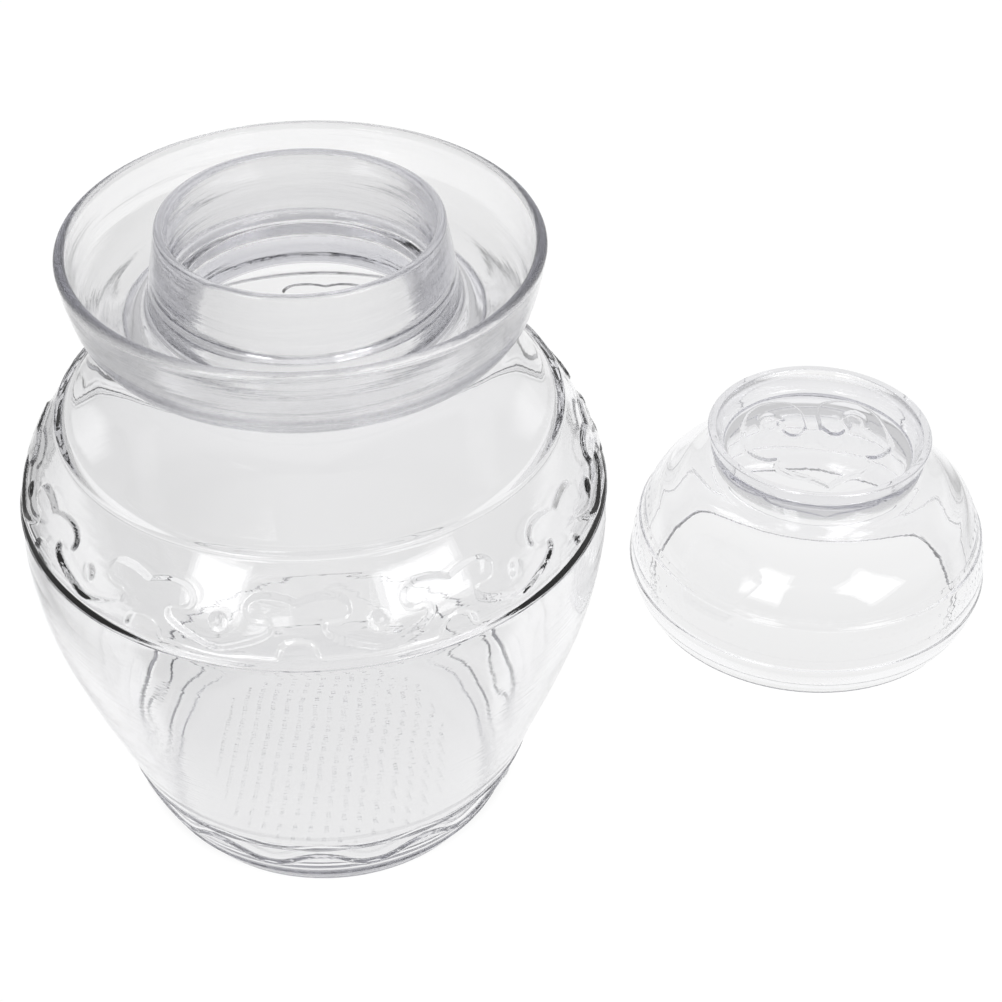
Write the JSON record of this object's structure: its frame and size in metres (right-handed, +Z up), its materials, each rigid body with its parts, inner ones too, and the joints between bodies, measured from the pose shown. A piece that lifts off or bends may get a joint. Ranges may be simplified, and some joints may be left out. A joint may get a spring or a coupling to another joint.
{
  "type": "glass pickle jar",
  "caption": "Pot-bellied clear glass pickle jar with a water moat round its neck and cloud-scroll relief; its bowl-shaped cap stands beside it, rim down, and lifts off.",
  "frame": {"origin": "middle of the jar's foot, on the surface it stands on", "axes": "+Z up along the jar's axis, +X from the jar to the cap standing beside it"},
  "size_m": [0.3789, 0.195, 0.2315],
  "materials": {
    "clear_glass": "clear, fire-polished"
  },
  "bodies": {
    "jar": {"jar_body": "clear_glass", "neck_and_moat": "clear_glass"},
    "lid": {"lid_bowl": "clear_glass"}
  },
  "joints": [
    {"name": "lid_lift", "type": "slide", "parent": "jar", "child": "lid", "axis": [0, 0, 1], "range_m": [0, 0.3]}
  ]
}
